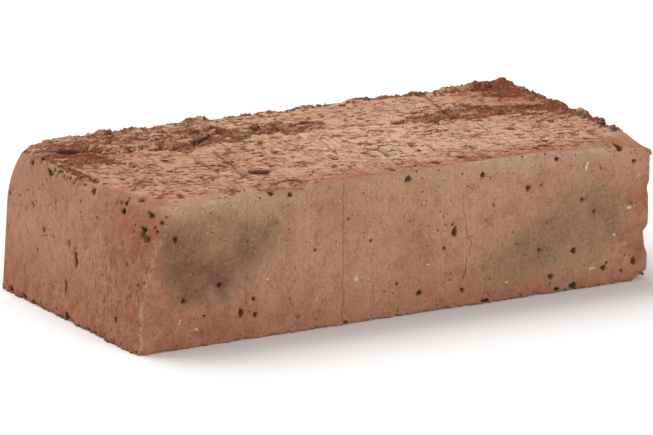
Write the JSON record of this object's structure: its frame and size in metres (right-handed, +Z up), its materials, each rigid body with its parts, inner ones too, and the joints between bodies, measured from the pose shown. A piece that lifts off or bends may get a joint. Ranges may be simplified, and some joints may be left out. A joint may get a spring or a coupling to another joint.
{
  "type": "clay brick",
  "caption": "Solid wire-cut clay brick with smooth rough-pitted sides, a torn and dragged upper bed, soft arrises and one slumped corner.",
  "frame": {"origin": "centre of the brick's box, on the plane of its lower bed", "axes": "+X along the length, from the slumped end to the flared end; +Y from the flashed front stretcher face to the back; +Z up, square to the lower bed"},
  "size_m": [0.2508, 0.12, 0.0645],
  "materials": {
    "fired_clay": "unglazed, matt and sandy, with grey-brown flash marks"
  },
  "bodies": {
    "root": {"brick": "fired_clay"}
  },
  "joints": []
}
